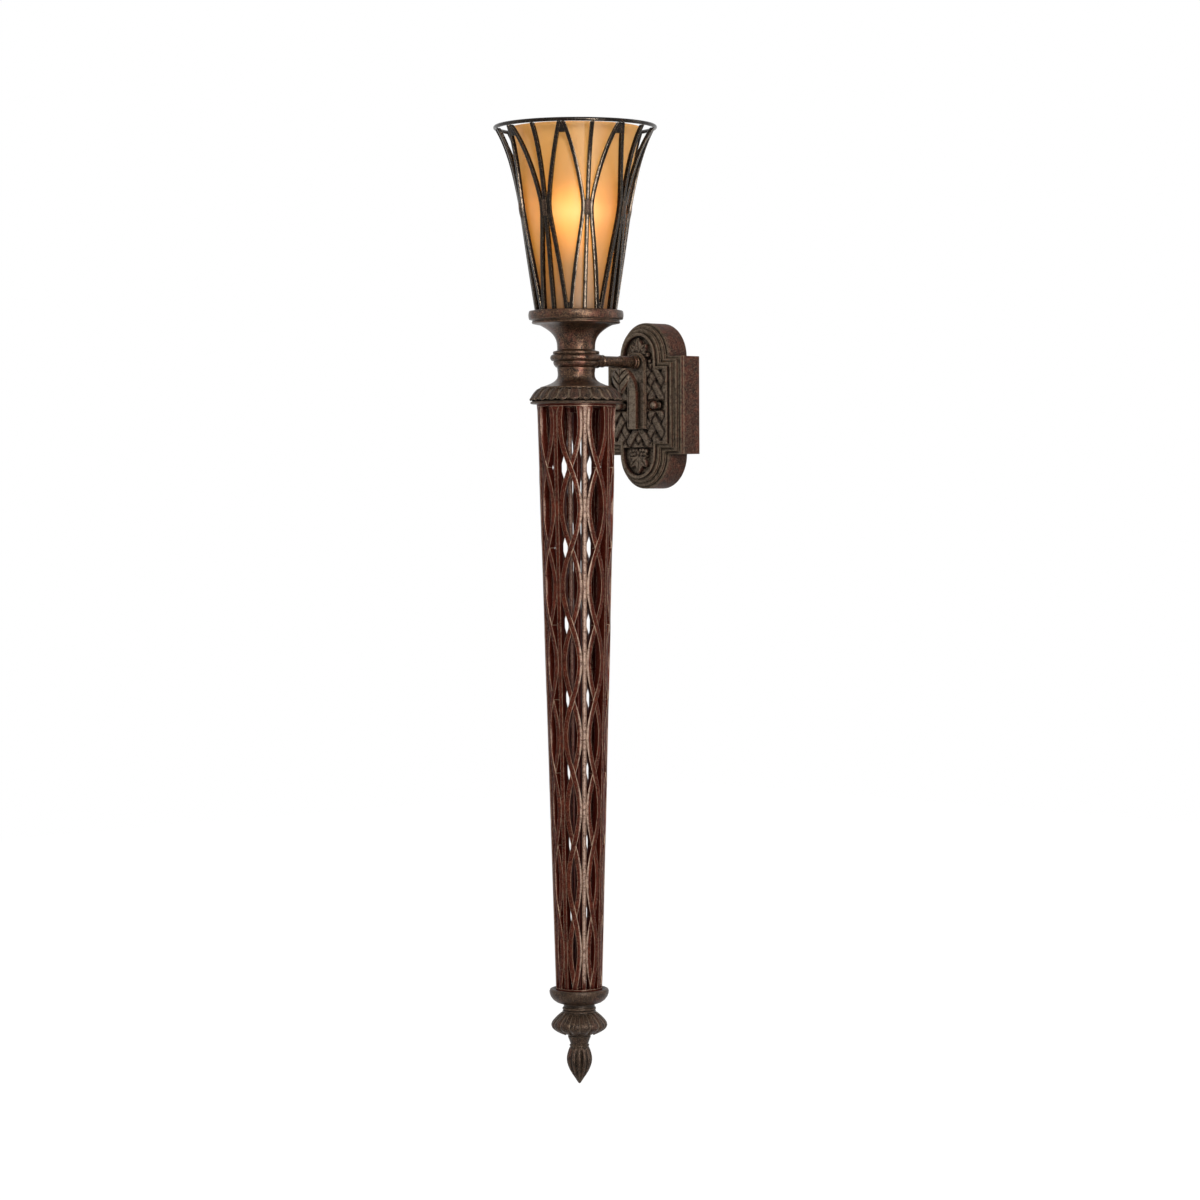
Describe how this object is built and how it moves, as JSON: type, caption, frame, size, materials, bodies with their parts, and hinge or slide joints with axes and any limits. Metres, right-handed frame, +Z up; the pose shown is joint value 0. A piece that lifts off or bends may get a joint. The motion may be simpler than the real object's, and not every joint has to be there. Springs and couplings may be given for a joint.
{
  "type": "torch sconce",
  "caption": "Wall sconce: a lattice torch with a caged amber glass bowl, held off the wall by an arm on a lobed carved plate.",
  "frame": {"origin": "centre of the wall plate, on the wall, midway between the two wall slots", "axes": "+Z up, along the torch; +Y into the wall; the torch stands out along -Y"},
  "size_m": [0.1784, 0.2217, 1.048],
  "materials": {
    "cast_bronze": "dark bronze, rubbed and mottled",
    "rubbed_bronze": "lighter rubbed bronze on raised leaves and collars",
    "plate_bronze": "olive-brown face over red-brown sides",
    "cage_iron": "near-black iron with rubbed edges",
    "column_iron": "maroon-brown iron with rubbed edges",
    "zinc_steel": "bright zinc",
    "brass": "bright",
    "amber_glass": "amber, satin",
    "bulb_glass": "pearl",
    "holder_phenolic": "moulded, black",
    "terminal_nylon": "natural nylon",
    "gasket_rubber": "soft",
    "wire_brown": "flexible insulation",
    "wire_green": "flexible insulation",
    "solder": "dull"
  },
  "bodies": {
    "sconce": {"wall_strap": "zinc_steel", "strap_studs": "zinc_steel", "stud_nuts": "zinc_steel", "earth_screw": "brass", "terminal_block": "terminal_nylon", "backplate": "plate_bronze", "arm_plinth": "plate_bronze", "plinth_screws": "zinc_steel", "scroll_strap": "plate_bronze", "scroll_leaf": "rubbed_bronze", "arm_tube": "cast_bronze", "arm_sleeve": "cast_bronze", "arm_root_collar": "rubbed_bronze", "arm_escutcheon": "rubbed_bronze", "arm_lock_nut": "zinc_steel", "knuckle": "cast_bronze", "cup": "cast_bronze", "lower_neck": "cast_bronze", "crown_collar": "rubbed_bronze", "crown_stud": "column_iron", "crown_nut": "column_iron", "column_top_plate": "column_iron", "column_ribs": "column_iron", "column_lattice": "column_iron", "column_bottom_plate": "column_iron", "bottom_bead": "cast_bronze", "leaf_ring": "rubbed_bronze", "finial_stud": "zinc_steel", "finial_nut": "column_iron", "centre_nipple": "brass", "gallery_plate": "zinc_steel", "gallery_nut": "brass", "cage_base_ring": "cage_iron", "cage_uprights": "cage_iron", "cage_lens_bars": "cage_iron", "cage_rim": "cage_iron", "glass_gasket": "gasket_rubber", "holder_cap": "holder_phenolic", "holder_body": "holder_phenolic", "screw_shell": "brass", "centre_contact": "brass", "lamp_wires": "wire_brown", "earth_wire": "wire_green"},
    "glass": {"glass_diffuser": "amber_glass"},
    "bulb": {"bulb_cap": "zinc_steel", "bulb_contact": "solder", "bulb_glass": "bulb_glass"},
    "left_nut": {"cap_nut_left": "rubbed_bronze"},
    "right_nut": {"cap_nut_right": "rubbed_bronze"},
    "finial": {"finial_bud": "cast_bronze"}
  },
  "joints": [
    {"name": "glass_lift", "type": "slide", "parent": "sconce", "child": "glass", "axis": [0, 0, 1], "range_m": [0, 0.215]},
    {"name": "bulb_turn", "type": "hinge", "parent": "sconce", "child": "bulb", "pos_m": [0, -0.1325, 0.21], "axis": [0, 0, 1], "continuous": true},
    {"name": "left_nut_turn", "type": "hinge", "parent": "sconce", "child": "left_nut", "pos_m": [-0.028, -0.04, 0], "axis": [0, -1, 0], "continuous": true},
    {"name": "right_nut_turn", "type": "hinge", "parent": "sconce", "child": "right_nut", "pos_m": [0.028, -0.04, 0], "axis": [0, -1, 0], "continuous": true},
    {"name": "finial_turn", "type": "hinge", "parent": "sconce", "child": "finial", "pos_m": [0, -0.1325, -0.72], "axis": [0, 0, 1], "continuous": true}
  ]
}
